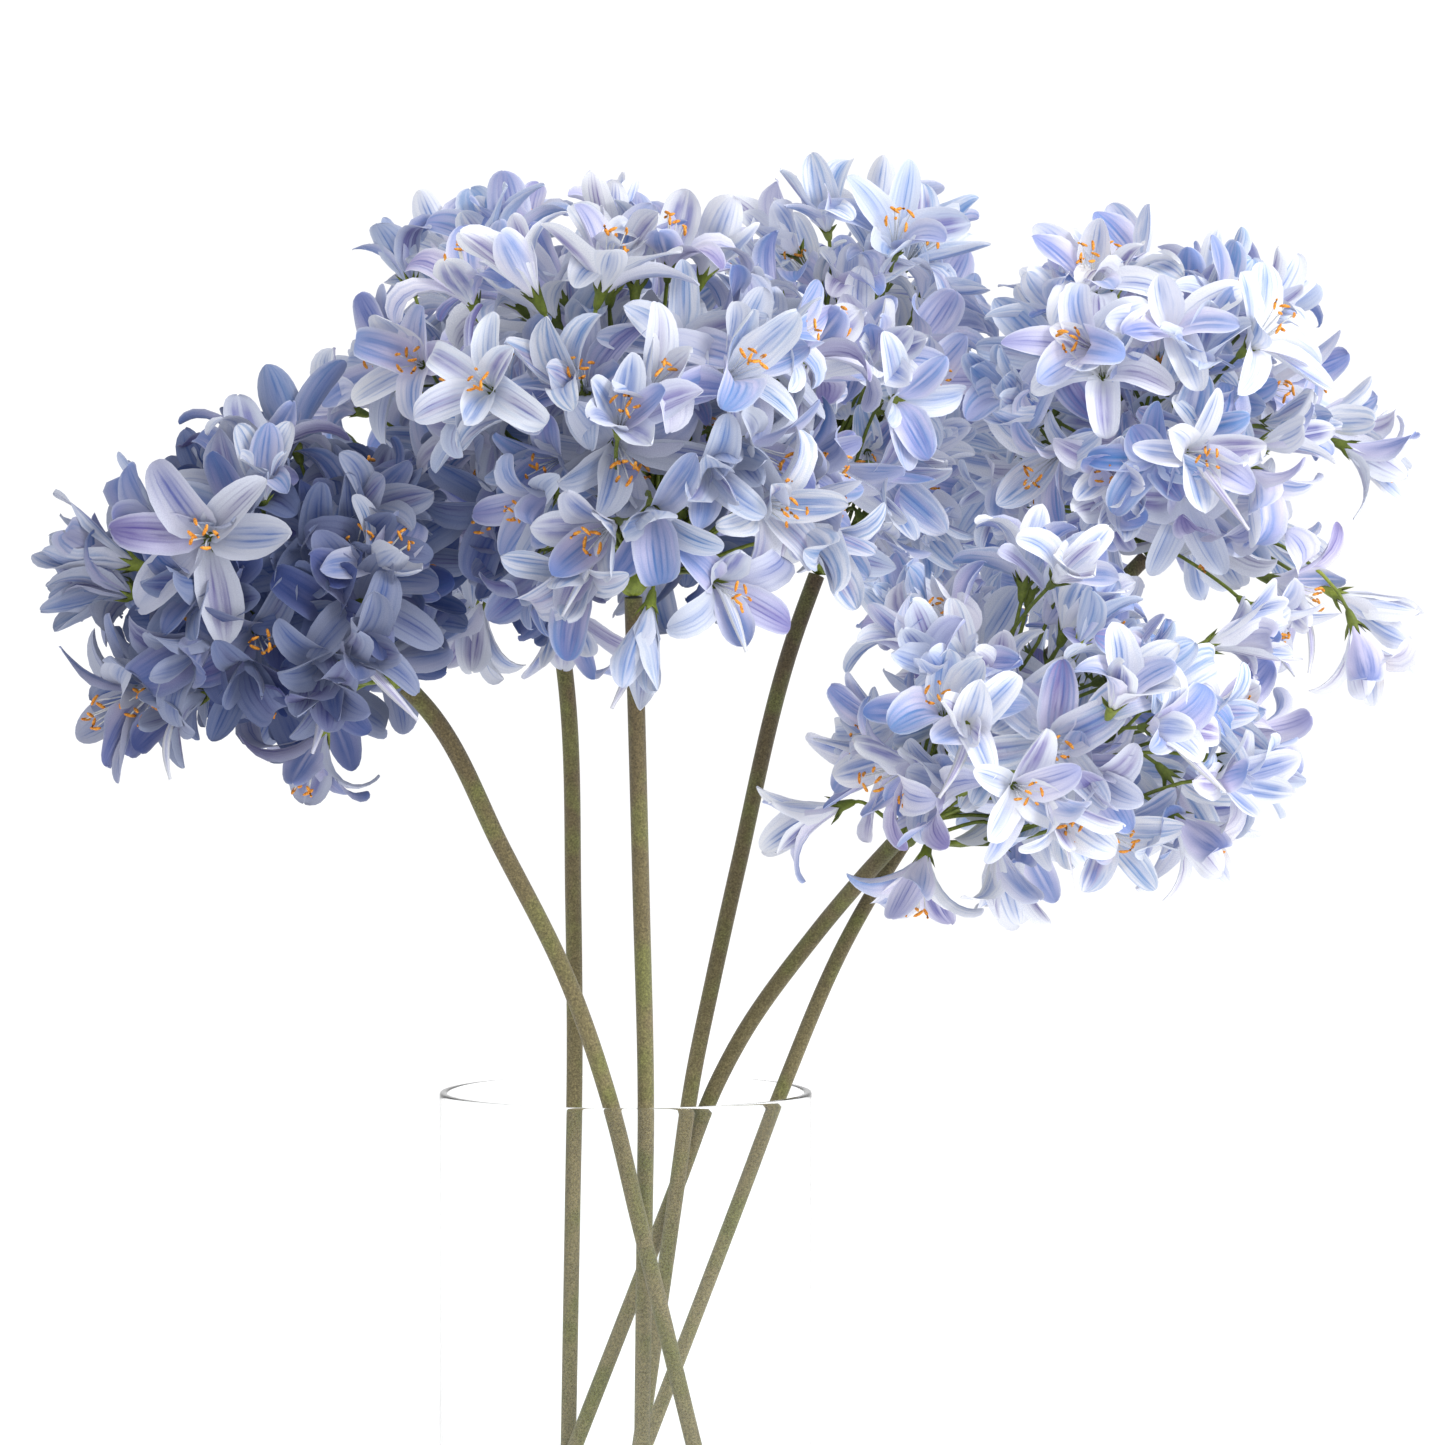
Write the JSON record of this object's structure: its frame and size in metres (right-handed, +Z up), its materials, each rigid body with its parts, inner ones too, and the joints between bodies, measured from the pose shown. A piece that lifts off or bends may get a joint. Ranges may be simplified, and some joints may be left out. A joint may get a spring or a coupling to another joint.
{
  "type": "agapanthus in a vase",
  "caption": "Bunch of pale blue fabric agapanthus, bare olive stems leaning in a tall clear glass cylinder vase, round heads of six-tepal florets",
  "frame": {"origin": "the centre of the vase's flat underside, on the surface that it stands on", "axes": "+Z up along the vase's axis; the front, where the low heads lean out, is towards -Y; +X is to the right seen from the front"},
  "size_m": [0.7444, 0.5619, 0.8253],
  "materials": {
    "clear_glass": "gloss",
    "stem_flocking": "matte",
    "moulded_plastic": "satin",
    "petal_fabric": "matte"
  },
  "bodies": {
    "root": {"hub_back_left": "moulded_plastic", "hub_back_right": "moulded_plastic", "hub_centre": "moulded_plastic", "hub_left": "moulded_plastic", "hub_low_right": "moulded_plastic", "hub_right": "moulded_plastic", "spray_back_left_1": "petal_fabric", "spray_back_left_2": "petal_fabric", "spray_back_left_3": "petal_fabric", "spray_back_left_4": "petal_fabric", "spray_back_left_5": "petal_fabric", "spray_back_left_6": "petal_fabric", "spray_back_left_7": "petal_fabric", "spray_back_right_1": "petal_fabric", "spray_back_right_2": "petal_fabric", "spray_back_right_3": "petal_fabric", "spray_back_right_4": "petal_fabric", "spray_back_right_5": "petal_fabric", "spray_back_right_6": "petal_fabric", "spray_back_right_7": "petal_fabric", "spray_centre_1": "petal_fabric", "spray_centre_2": "petal_fabric", "spray_centre_3": "petal_fabric", "spray_centre_4": "petal_fabric", "spray_centre_5": "petal_fabric", "spray_centre_6": "petal_fabric", "spray_centre_7": "petal_fabric", "spray_left_1": "petal_fabric", "spray_left_2": "petal_fabric", "spray_left_3": "petal_fabric", "spray_left_4": "petal_fabric", "spray_left_5": "petal_fabric", "spray_left_6": "petal_fabric", "spray_left_7": "petal_fabric", "spray_low_right_1": "petal_fabric", "spray_low_right_2": "petal_fabric", "spray_low_right_3": "petal_fabric", "spray_low_right_4": "petal_fabric", "spray_low_right_5": "petal_fabric", "spray_low_right_6": "petal_fabric", "spray_low_right_7": "petal_fabric", "spray_right_1": "petal_fabric", "spray_right_2": "petal_fabric", "spray_right_3": "petal_fabric", "spray_right_4": "petal_fabric", "spray_right_5": "petal_fabric", "spray_right_6": "petal_fabric", "spray_right_7": "petal_fabric", "stem_back_left": "stem_flocking", "stem_back_right": "stem_flocking", "stem_centre": "stem_flocking", "stem_left": "stem_flocking", "stem_low_right": "stem_flocking", "stem_right": "stem_flocking", "vase": "clear_glass"}
  },
  "joints": []
}
